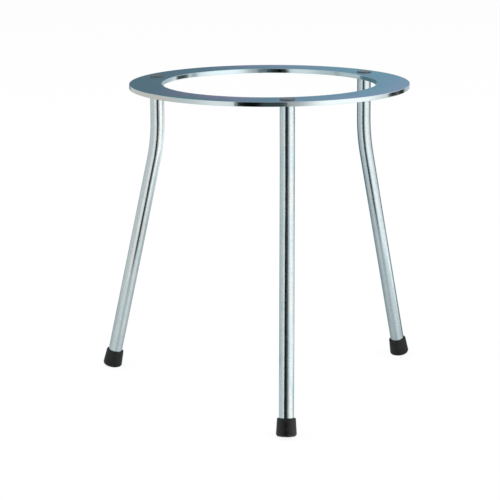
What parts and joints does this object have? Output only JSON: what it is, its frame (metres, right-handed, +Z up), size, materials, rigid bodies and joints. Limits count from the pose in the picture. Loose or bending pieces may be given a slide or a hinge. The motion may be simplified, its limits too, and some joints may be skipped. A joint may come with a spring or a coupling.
{
  "type": "laboratory tripod stand",
  "caption": "Laboratory tripod stand: flat zinc-plated steel ring on bent round-bar legs with rubber feet, holding a gauze or vessel above a burner.",
  "frame": {"origin": "point on the bench straight below the middle of the ring", "axes": "+Z up, -Y towards the front leg, +X towards the right leg's side"},
  "size_m": [0.1854, 0.1846, 0.1757],
  "materials": {
    "plated_ring": "zinc plated, blue passivated, satin",
    "plated_leg": "zinc plated drawn bar, semi-gloss",
    "foot_rubber": "matt black rubber"
  },
  "bodies": {
    "root": {"ring_plate": "plated_ring", "leg_front": "plated_leg", "leg_right": "plated_leg", "leg_left": "plated_leg", "foot_front": "foot_rubber", "foot_right": "foot_rubber", "foot_left": "foot_rubber"}
  },
  "joints": []
}
